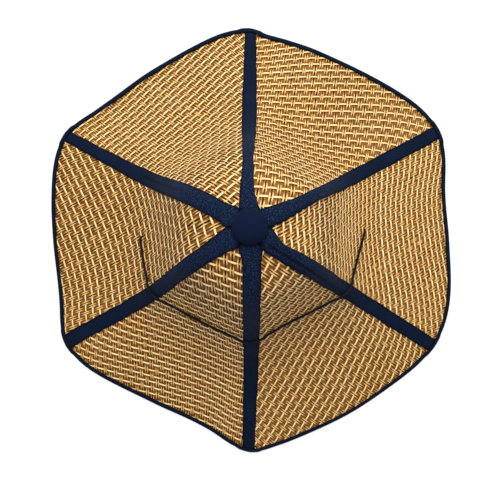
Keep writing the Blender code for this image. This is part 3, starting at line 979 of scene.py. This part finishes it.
def makeTape(node, chance):
    setup = seamTapes
    azimuth = tapeShapes[node][0]
    seam = math.radians(azimuth)
    arcs = np.linspace(arcAt(setup["tip"]), arcAt(brimRadius - setup["inset"]), setup["rows"])
    r = radiusAtArc(arcs)
    reach = reachAt(r, seam)
    mitre = 0.5 * sixth - np.arcsin(setup["mitreGap"] / reach)
    low, high = (
        np.clip((edge + setup["edgeWander"] * gentleWave(arcs, wave, chance)) / reach, -mitre, mitre)
        for edge, wave in zip(tapeEdges(node, r), setup["edgeWaves"])
    )
    x = np.concatenate((
        np.sin(np.linspace(0.5 * math.pi, -0.5 * math.pi, setup["columns"])),
        np.linspace(-setup["lowReach"], setup["lowReach"], setup["lowColumns"]),
    ))
    turn = np.where(x < 0.0, -x * low[:, None], x * high[:, None])
    sideways = turn * reach[:, None]
    along = np.broadcast_to(arcs[:, None], turn.shape)
    top, near = tapeSection(x, sideways, along, chance)
    mark = foldMark(node, x, r)
    isTop = np.arange(len(x)) < setup["columns"]
    offset = np.where(isTop, top - setup["foldDepth"] * mark, setup["under"])
    rings = liftedAt(np.broadcast_to(r[:, None], turn.shape), seam + turn, offset)
    places = fieldsOf(turn.shape, sideways, along, mm * azimuth) / mm
    rubbed = rubbedAt(arcs, setup["rubWave"], chance) * bell(x / setup["rubWidth"])
    # Painted shade in the sewn grooves, along the folded edges and in the pressed fold
    edged = np.clip((np.abs(x) - setup["edgePlace"]) / setup["edgeShade"], 0.0, 1.0)
    hollowShade = np.maximum(np.maximum(setup["grooveShade"] * near, edged), mark)
    nearTop = smoothStep((setup["lintRadius"] - r) / setup["lintFade"])
    linty = setup["lintLeast"] + (1.0 - setup["lintLeast"]) * nearTop
    hank = newHank()
    addRings(hank, rings, places, fieldsOf(turn.shape, rubbed, hollowShade, linty[:, None]))
    lift = setup["under"] + setup["edge"] + setup["stitchSeat"] * setup["body"] - setup["grooveDepth"]
    stitches = []
    for edges in (low, high):
        start = arcAt(setup["stitchStart"]) + sewing["pitch"] * chance.random()
        for first in np.arange(start, arcs[-1] - setup["stitchEnd"], sewing["pitch"]):
            spots = np.array((first, first + sewing["length"]))
            radii = radiusAtArc(spots)
            turns = seam + setup["groovePlace"] * np.interp(spots, arcs, edges)
            up = frameAt(radii, turns)[0]
            stitches.append((surfaceAt(radii, turns) + up * lift, up.mean(axis=0)))
    sewStitches(hank, stitches, chance)
    showHank("cloth_" + node, hank, (navyCloth, navyThread), node)


tapeChance = np.random.default_rng(seamTapes["seed"])
for node in tapeShapes:
    makeTape(node, tapeChance)
print("seam tapes sewn:", len(tapeShapes))

# Folded binding round the brim edge, lifted where it crosses the tape ends
brimBinding = {
    "steps": 900,
    "width": (  # azimuth, width of the upper fold
        (-60, 0.0024), (0, 0.0028), (60, 0.0030), (120, 0.0034), (180, 0.0028), (240, 0.0029),
        (300, 0.0024), (360, 0.0028), (420, 0.0030),
    ),
    "lowWidth": 0.0028,
    "thick": 0.0009,
    "topShare": 0.92,
    "nose": 0.0012,
    "clear": 0.0025,
    "ramp": 0.0045,
    "under": 0.00028,
    "stitchPlace": 0.0008,
    "stitchSpot": 4,  # row of the profile below that is sewn
    "pucker": 0.00005,
    "wander": 0.00012,
    "wanders": 9.0,
    "rubWave": 0.080,
    "rubWidth": 0.002,
    "seed": 31,
}


def makeBinding():
    setup = brimBinding
    chance = np.random.default_rng(setup["seed"])
    turns = roundTurns(setup["steps"])
    rim = np.full_like(turns, brimRadius)
    edge = surfaceAt(rim, turns)
    up, out = frameAt(rim, turns)[:2]
    along = lengthsAlong(edge)
    over = 1.0 - smoothStep((pastTape(rim, turns) - setup["clear"]) / setup["ramp"])
    uneven = setup["wander"] * np.sin(setup["wanders"] * turns + 1.0)
    wide = readTable(setup["width"], np.degrees(turns)) + uneven
    under = setup["under"] + (tapeThick + gap) * over
    pucker = setup["pucker"] * np.cos(2.0 * math.pi * along / sewing["pitch"])
    top = under + setup["thick"] * setup["topShare"]
    low = -strawThick - gap
    deep = low - setup["thick"]
    foot = setup["lowWidth"]
    nose = setup["nose"]
    sewn = -wide + setup["stitchPlace"]
    # The third number of each profile point is painted shade, darkest at the tucked edges, half dark
    # underneath and along the stitch row
    profile = (  # outward, upward and darkness: over the top, round the nose and back underneath
        (-wide, under + 0.10 * mm, 1.0),
        (-wide - 0.06 * mm, under + 0.45 * mm, 0.9),
        (-wide + 0.10 * mm, top - 0.12 * mm, 0.5),
        (-wide + 0.38 * mm, top, 0.1),
        (sewn, top - 0.10 * mm + pucker, 0.5),
        (sewn + 0.45 * mm, top + 0.02 * mm, 0.0),
        (-0.5 * wide + 0.6 * mm, top + 0.05 * mm, 0.0),
        (0.15 * mm, top - 0.02 * mm, 0.0),
        (0.60 * nose, top - 0.22 * mm, 0.0),
        (0.88 * nose, 0.55 * top, 0.0),
        (nose, 0.1 * top, 0.0),
        (nose, 0.40 * deep, 0.1),
        (0.97 * nose, 0.60 * deep, 0.3),
        (0.75 * nose, deep, 0.5),
        (0.0, deep, 0.5),
        (-0.8 * mm, deep, 0.5),
        (-0.55 * foot, deep + 0.02 * mm, 0.3),
        (-foot + 0.2 * mm, deep + 0.05 * mm, 0.5),
        (-foot, deep + 0.40 * mm, 0.9),
        (-foot + 0.05 * mm, low, 1.0),
        (0.25 * mm, low, 1.0),
        (0.25 * mm, under, 1.0),
    )
    outs, ups, hollowShade = (fieldsOf(turns.shape, *values) for values in zip(*profile))
    rings = edge[:, None, :] + out[:, None, :] * outs[..., None] + up[:, None, :] * ups[..., None]
    rings[..., 2] = np.maximum(rings[..., 2], 0.0)
    places = fieldsOf(outs.shape, lengthsAlong(rings[0]), along[:, None], 0.0) / mm
    rubbed = rubbedAt(along, setup["rubWave"], chance) * bell(outs / setup["rubWidth"])
    hank = newHank()
    addRings(hank, rings, places, fieldsOf(outs.shape, rubbed, hollowShade, 0.0), closed=True)
    sewStitches(hank, stitchesRound(rings[:, setup["stitchSpot"]], along, up), chance)
    showHank("cloth_brim_binding", hank, (navyCloth, navyThread), "brim_binding")


makeBinding()
print("brim bound")

# Cloth pulled over the button's metal dome
crownButton = {
    "radius": 0.0109,
    "dome": 0.0060,
    "rim": 0.0016,
    "cloth": 0.0005,
    "lip": 0.0022,
    "tuck": 0.0005,
    "tuckFoot": 1.6,
    "tuckRise": 0.0011,
    "tuckSteps": 7,
    "topShare": 0.985,
    "sides": 120,
    "rows": 34,
    "gathers": 26,
    "gatherDepth": 0.00007,
    "gatherRise": 0.0050,
    "gatherDrift": 0.9,
    "shade": 0.9,
    "foldShade": 0.35,
}
buttonLook = dict(
    navyLook,
    rough=0.8,
    pitch=0.55,
    slant=1.0,
    deep=(0.0009, 0.0040, 0.0165),
    pale=(0.0038, 0.0120, 0.0420),
    bump=0.35,
    bumpDepth=0.00007,
)
buttonCloth = clothMaterial("buttonCloth", buttonLook)


def makeButton():
    setup = crownButton
    radius, cloth = setup["radius"], setup["cloth"]
    seat = heightAt(seamTapes["tip"]) + 2.0 * gap + tapeThick
    lipEnd = radius - setup["lip"]
    rise = np.linspace(0.5 * math.pi * setup["topShare"], 0.0, setup["rows"])

    def domeAt(angle, skin):
        level = seat + setup["rim"] + (setup["dome"] - skin) * math.sin(angle)
        return (radius - skin) * math.cos(angle), level

    inside = [domeAt(angle, cloth) for angle in rise]
    inside += [(radius - cloth, seat + cloth), (lipEnd, seat + cloth), (lipEnd, seat)]
    outside = [(radius - setup["tuckFoot"] * setup["tuck"], seat)]
    for angle in np.linspace(-0.5 * math.pi, 0.0, setup["tuckSteps"])[1:]:
        level = seat + setup["tuckRise"] * (1.0 + math.sin(angle))
        outside.append((radius - setup["tuck"] * (1.0 - math.cos(angle)), level))
    outside += [domeAt(angle, 0.0) for angle in rise[::-1]]
    profile = np.array(inside + outside)
    theta = roundTurns(setup["sides"])
    isOut = np.arange(len(profile)) >= len(inside)
    low = (np.clip(1.0 - (profile[:, 1] - seat) / setup["gatherRise"], 0.0, 1.0) * isOut)[:, None]
    folds = np.cos(setup["gathers"] * theta + setup["gatherDrift"] * np.sin(3.0 * theta))
    folds = folds * setup["gatherDepth"]
    radii = profile[:, :1] + low * folds
    rings = fieldsOf(radii.shape, radii * np.cos(theta), radii * np.sin(theta), profile[:, 1:])
    places = fieldsOf(radii.shape, rings[..., 0], rings[..., 1], 0.0) / mm
    # Painted shade near the lower rim, deeper in the gathers' folds
    hollowShade = np.clip(low * (setup["shade"] - folds / setup["gatherDepth"] * setup["foldShade"]), 0.0, 1.0)
    hank = newHank()
    addRings(hank, rings, places, fieldsOf(radii.shape, 0.0, hollowShade, 0.0))
    showHank("cloth_button", hank, (buttonCloth,), "button_cover")


makeButton()
print("button covered")

# Soft band round the inside of the crown, hemmed and sewn along its upper edge
headBand = {
    "drop": 0.0080,
    "width": 0.0270,
    "gap": 0.0005,
    "thick": 0.0009,
    "edgeThick": 0.25,
    "edgeRound": 0.0006,
    "steps": 720,
    "rows": 26,
    "hem": 0.0022,
    "hemThick": 0.00025,
    "ripple": 0.00018,
    "stitchRow": 0.0018,
    "stitchWidth": 0.0005,
    "stitchDip": 0.00012,
    "stitchShade": 0.6,
    "grainPlace": 7.0,
    "seed": 41,
}
bandLook = dict(
    navyLook,
    rough=0.9,
    sheen=0.2,
    pitch=1.1,
    slant=1.0,
    deep=(0.0060, 0.0100, 0.0260),
    pale=(0.0200, 0.0300, 0.0620),
)
bandCloth = clothMaterial("bandCotton", bandLook)


def makeBand():
    setup = headBand
    chance = np.random.default_rng(setup["seed"])
    turns = roundTurns(setup["steps"])
    share = np.linspace(0.0, 1.0, setup["rows"])  # from the lower edge up
    height = setup["width"] * share
    r = radiusAtArc(arcAt(headRadius - setup["drop"]) - height)
    fromEdge = setup["width"] * np.minimum(share, 1.0 - share)
    inward = 1.0 - np.minimum(fromEdge / setup["edgeRound"], 1.0)
    rounded = np.sqrt(np.clip(1.0 - inward**2, 0.0, 1.0))
    hem = setup["hemThick"] * (height < setup["hem"])
    sewn = bell((setup["width"] * (1.0 - share) - setup["stitchRow"]) / setup["stitchWidth"])
    azimuths = np.broadcast_to(turns[:, None], (len(turns), setup["rows"]))
    radii = np.broadcast_to(r, azimuths.shape)
    waves = setup["ripple"] * np.sin(23.0 * turns + 1.3 * np.sin(5.0 * turns))[:, None]
    ripple = np.minimum(waves * (share * (1.0 - share) * 4.0), 0.0)
    middle = -strawThick - setup["gap"] - 0.5 * setup["thick"]
    half = 0.5 * setup["thick"] * (setup["edgeThick"] + (1.0 - setup["edgeThick"]) * rounded)
    outer = liftedAt(radii, azimuths, np.broadcast_to(middle + half, azimuths.shape))
    inner = liftedAt(radii, azimuths, middle - half - hem + setup["stitchDip"] * sewn + ripple)
    rings = np.concatenate((inner[:, ::-1], outer), axis=1)  # down the inner side, up the outer one
    along = lengthsAlong(outer[:, 0])
    shape = rings.shape[:2]
    around = np.concatenate((height[::-1], height))
    places = fieldsOf(shape, around, along[:, None], setup["grainPlace"] * mm) / mm
    # Painted shade: the whole outer side, against the straw, and the inner side along the stitch row
    hollowShade = np.concatenate((setup["stitchShade"] * sewn[::-1], np.ones(setup["rows"])))
    hank = newHank()
    addRings(hank, rings, places, fieldsOf(shape, 0.0, hollowShade, 0.0), closed=True)
    row = int(np.argmax(sewn))
    inward = -frameAt(np.full_like(turns, r[row]), turns)[0]
    sewStitches(hank, stitchesRound(inner[:, row], along, inward), chance)
    showHank("cloth_sweatband", hank, (bandCloth, navyThread), "sweatband")


makeBand()
print("sweatband sewn")

# Pressed steel of the button's inner pieces: turning marks and a few dull spots
steelLook = {
    "colour": (0.52, 0.52, 0.53),
    "dull": (0.40, 0.39, 0.38),
    "rough": 0.35,
    "roughRange": (0.30, 0.50),
    "spotScale": 600.0,
    "spotRange": (0.45, 0.7),
    "rings": 9000.0,
    "bump": 0.15,
    "bumpDepth": 0.00002,
}


def steelMaterial(look):
    material, tree, shader = startMaterial("pressedSteel", look["rough"])
    where = addNode(tree, "ShaderNodeTexCoord").outputs["Object"]
    span = addNode(tree, "ShaderNodeVectorMath", operation="LENGTH")
    feed(tree, span.inputs[0], joinVector(tree, *splitVector(tree, where)[:2]))
    marks = mathNode(tree, "SINE", times(tree, span.outputs["Value"], look["rings"]))
    dull = mapRange(tree, noiseAt(tree, where, look["spotScale"]), *look["spotRange"])
    for title, value in (
        ("Metallic", 1.0),
        ("Base Color", blendColours(tree, dull, look["colour"], look["dull"])),
        ("Roughness", mapRange(tree, dull, 0.0, 1.0, *look["roughRange"])),
    ):
        feed(tree, shader.inputs[title], value)
    addBump(tree, shader, marks, look["bump"], look["bumpDepth"])
    return material


pressedSteel = steelMaterial(steelLook)
for node in ("button_shell", "button_back", "button_rivet", "button_washer"):
    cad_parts[node].data.materials.clear()
    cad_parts[node].data.materials.append(pressedSteel)
print("steel finished")

# Black elastic round the front of the crown: a braid over a core, knotted inside at both ends
crownCord = {
    "route": (  # azimuth, share of the head radius
        (180, 0.985), (192, 0.950), (205, 0.903), (218, 0.876), (240, 0.858), (268, 0.821),
        (290, 0.811), (310, 0.832), (326, 0.856), (336, 0.897), (350, 0.967), (364, 1.049),
    ),
    "radius": 0.0010,
    "bend": 0.0024,
    "bendSteps": 10,
    "lead": 0.0075,
    "start": 0.0038,
    "clear": 0.0008,
    "ramp": 0.0040,
    "knotRadius": 0.0025,
    "knotLength": 0.0042,
    "knotTail": 0.0014,
    "tailSteps": 8,
    "knotTurns": 1.9,
    "knotStrand": 0.00074,
    "knotSteps": 64,
    "knotSides": 10,
    "knotTaper": 4.0,
    "knotTip": 0.3,
    "runSteps": 700,
    "step": 0.0003,
    "smoothing": 4,
    "firstSide": (0.3, 0.9, 0.1),
    "carriers": 5,
    "layLength": 0.0085,
    "braidRadius": 0.00070,
    "braidWeave": 0.00011,
    "carrierWidth": 0.00044,
    "carrierThick": 0.00020,
    "coreRadius": 0.00072,
    "sides": 6,
    "seed": 53,
}
elasticLook = dict(
    floatLook,
    rough=0.62,
    gloss=0.12,
    along=2.2,
    around=1.5,
    deep=(0.0020, 0.0024, 0.0034),
    pale=(0.0070, 0.0080, 0.0105),
    streak=0.5,
    stain=(0.5, 0.5, 0.5),
    # Painted shade on the braid's core, dived carriers and flanks
    paintedShade=(0.5, 0.5, 0.5),
    bumpDepth=0.00006,
)
blackElastic = strandMaterial("blackElastic", elasticLook)


# The cord's bend through the straw, with the strand of the knot inside and its outward directions
def cordEnd(degrees, toward):
    setup = crownCord
    bend, strand, count = setup["bend"], setup["knotStrand"], setup["knotSteps"]
    r = headRadius * readTable(setup["route"], np.array(float(degrees)))
    turn = math.radians(degrees)
    up = frameAt(r, turn)[0]
    hole = surfaceAt(r, turn)
    way = toward - hole
    way = unit(way - up * way.dot(up))
    lift = setup["radius"] + gap
    spots = [(setup["start"], lift)]
    for angle in np.linspace(0.5 * math.pi, 0.0, setup["bendSteps"]):
        spots.append((bend * (1.0 - math.cos(angle)), lift - bend * (1.0 - math.sin(angle))))
    knotTop = -strawThick - gap
    tail = knotTop - setup["knotLength"] - setup["knotTail"]
    spots += [(0.0, level) for level in np.linspace(lift - bend, tail, setup["tailSteps"])[1:]]
    points = np.array([hole + way * reach + up * level for reach, level in spots])
    angle = np.linspace(0.0, 2.0 * math.pi * setup["knotTurns"], count)[:, None]
    room = setup["knotLength"] - 2.0 * strand
    level = knotTop - strand - room * np.linspace(0.0, 1.0, count)[:, None]
    outward = way * np.cos(angle) + np.cross(up, way) * np.sin(angle)
    return points, hole + up * level + outward * (setup["knotRadius"] - strand), outward


def evenPath(points, step):
    lengths = lengthsAlong(points)
    spots = np.linspace(0.0, lengths[-1], int(lengths[-1] / step) + 1)
    path = pointsAt(spots, lengths, points)
    for _ in range(crownCord["smoothing"]):
        path[1:-1] = 0.25 * path[:-2] + 0.5 * path[1:-1] + 0.25 * path[2:]
    return path, spots


def makeCord():
    setup = crownCord
    sides, core, count = setup["sides"], setup["coreRadius"], setup["carriers"]
    chance = np.random.default_rng(setup["seed"])
    lead = math.degrees(setup["lead"] / headRadius)
    left, right = setup["route"][0][0], setup["route"][-1][0]
    turns = np.linspace(left + lead, right - lead, setup["runSteps"])
    r = headRadius * readTable(setup["route"], turns)
    over = 1.0 - smoothStep((pastTape(r, np.radians(turns)) - setup["clear"]) / setup["ramp"])
    run = liftedAt(r, np.radians(turns), setup["radius"] + gap + (tapeThick + gap) * over)
    leftEnd, *leftKnot = cordEnd(left, run[0])
    rightEnd, *rightKnot = cordEnd(right, run[-1])
    path, spots = evenPath(np.concatenate((leftEnd[::-1], run, rightEnd)), setup["step"])
    tangent = unit(np.gradient(path, axis=0))
    normal = np.empty_like(path)
    normal[0] = unit(np.cross(tangent[0], setup["firstSide"]))
    for index in range(1, len(path)):
        normal[index] = normal[index - 1] - tangent[index] * normal[index - 1].dot(tangent[index])
        normal[index] = unit(normal[index])
    side = np.cross(tangent, normal)
    hank = newHank()
    # Painted shade: the core is fully darkened under the braid, and each carrier darker where it dives under
    # the others
    addStrand(hank, path, normal, core, core, 0.5, 0.0, 1.0, 0, sides)
    spin = 2.0 * math.pi * spots / setup["layLength"]
    wide, thick = setup["carrierWidth"], setup["carrierThick"]
    for way in (1.0, -1.0):
        wave = way * np.cos(count * spin)
        ride = setup["braidRadius"] + setup["braidWeave"] * wave
        for carrier in range(count):
            angle = way * spin + 2.0 * math.pi * carrier / count
            radial = normal * np.cos(angle)[:, None] + side * np.sin(angle)[:, None]
            centre = path + radial * ride[:, None]
            tone = yarnTone(chance)
            addStrand(hank, centre, radial, wide, thick, chance.random(), tone, 0.5 - 0.5 * wave, 0, sides)
    steps = np.arange(setup["knotSteps"])
    fromEnd = np.minimum(steps, steps[::-1])
    girth = setup["knotStrand"] * np.clip(fromEnd / setup["knotTaper"] + setup["knotTip"], 0.0, 1.0)
    for knot, outward in (leftKnot, rightKnot):
        addStrand(hank, knot, outward, girth, girth, chance.random(), 0.5, 0.0, 0, setup["knotSides"])
    showHank("braid_elastic_cord", hank, (blackElastic,), "elastic_cord")
    print("cord braided:", round(float(spots[-1]), 4), "m from end to end")


makeCord()

# Floor and light
studio = {
    "floorSize": 6.0,
    "floorSides": 180,
    "floorLevel": -0.0002,
    "floorColour": (0.92, 0.92, 0.92),
    "floorRough": 0.9,
    "floorGlow": 0.75,
    "keyTurn": 88.0,
    "keyRise": 63.0,
    "keyReach": 1.2,
    "keySize": 0.9,
    "keyPower": 20.0,
    "skyLevel": 0.50,
}


# The floor glows for the camera outside the brim only, so that no light shows through the weave
def makeFloor():
    count = studio["floorSides"]
    turns = roundTurns(count)
    far = np.stack((np.cos(turns), np.sin(turns), np.zeros(count)), axis=1) * 0.5 * studio["floorSize"]
    points = np.concatenate((surfaceAt(brimRadius, turns), far))
    points[:, 2] = studio["floorLevel"]
    faces = [list(range(count))]
    for spot in range(count):
        after = (spot + 1) % count
        faces.append([spot, count + spot, count + after, after])
    mesh = bpy.data.meshes.new("floor")
    mesh.from_pydata(points.tolist(), [], faces)
    for name in ("shadedFloor", "paleFloor"):
        material, tree, shader = startMaterial(name, studio["floorRough"], 0.0)
        feed(tree, shader.inputs["Base Color"], studio["floorColour"])
        mesh.materials.append(material)
    glow = addNode(tree, "ShaderNodeEmission")
    path = addNode(tree, "ShaderNodeLightPath")
    seen = mathNode(tree, "MAXIMUM", path.outputs["Is Camera Ray"], path.outputs["Is Glossy Ray"])
    seen = mathNode(tree, "MAXIMUM", seen, path.outputs["Is Transmission Ray"])
    mixed = addNode(tree, "ShaderNodeMixShader")
    values = (times(tree, seen, studio["floorGlow"]), shader.outputs[0], glow.outputs[0])
    for socket, value in zip(mixed.inputs, values):
        feed(tree, socket, value)
    feed(tree, tree.nodes["Material Output"].inputs["Surface"], mixed.outputs[0])
    mesh.polygons.foreach_set("material_index", [0] + [1] * count)
    floor = bpy.data.objects.new("floor", mesh)
    bpy.context.scene.collection.objects.link(floor)


def makeLight():
    turn = math.radians(studio["keyTurn"])
    rise = math.radians(studio["keyRise"])
    data = bpy.data.lights.new("key", "AREA")
    data.size = studio["keySize"]
    data.energy = studio["keyPower"]
    key = bpy.data.objects.new("key", data)
    way = Vector((math.cos(turn) * math.cos(rise), math.sin(turn) * math.cos(rise), math.sin(rise)))
    key.location = way * studio["keyReach"]
    key.rotation_mode = "QUATERNION"
    key.rotation_quaternion = way.to_track_quat("Z", "Y")
    bpy.context.scene.collection.objects.link(key)
    world = bpy.data.worlds.new("studio")
    world.use_nodes = True
    tree = world.node_tree
    sky = tree.nodes["Background"]
    level = addNode(tree, "ShaderNodeMix")
    seen = addNode(tree, "ShaderNodeLightPath").outputs["Is Camera Ray"]
    for spot, value in ((0, seen), (2, studio["skyLevel"]), (3, 1.0)):
        feed(tree, level.inputs[spot], value)
    feed(tree, sky.inputs["Strength"], level.outputs[0])
    feed(tree, sky.inputs["Color"], (1.0, 1.0, 1.0))
    bpy.context.scene.world = world
    bpy.context.scene.view_settings.view_transform = "Standard"


makeFloor()
makeLight()
print("studio lit")
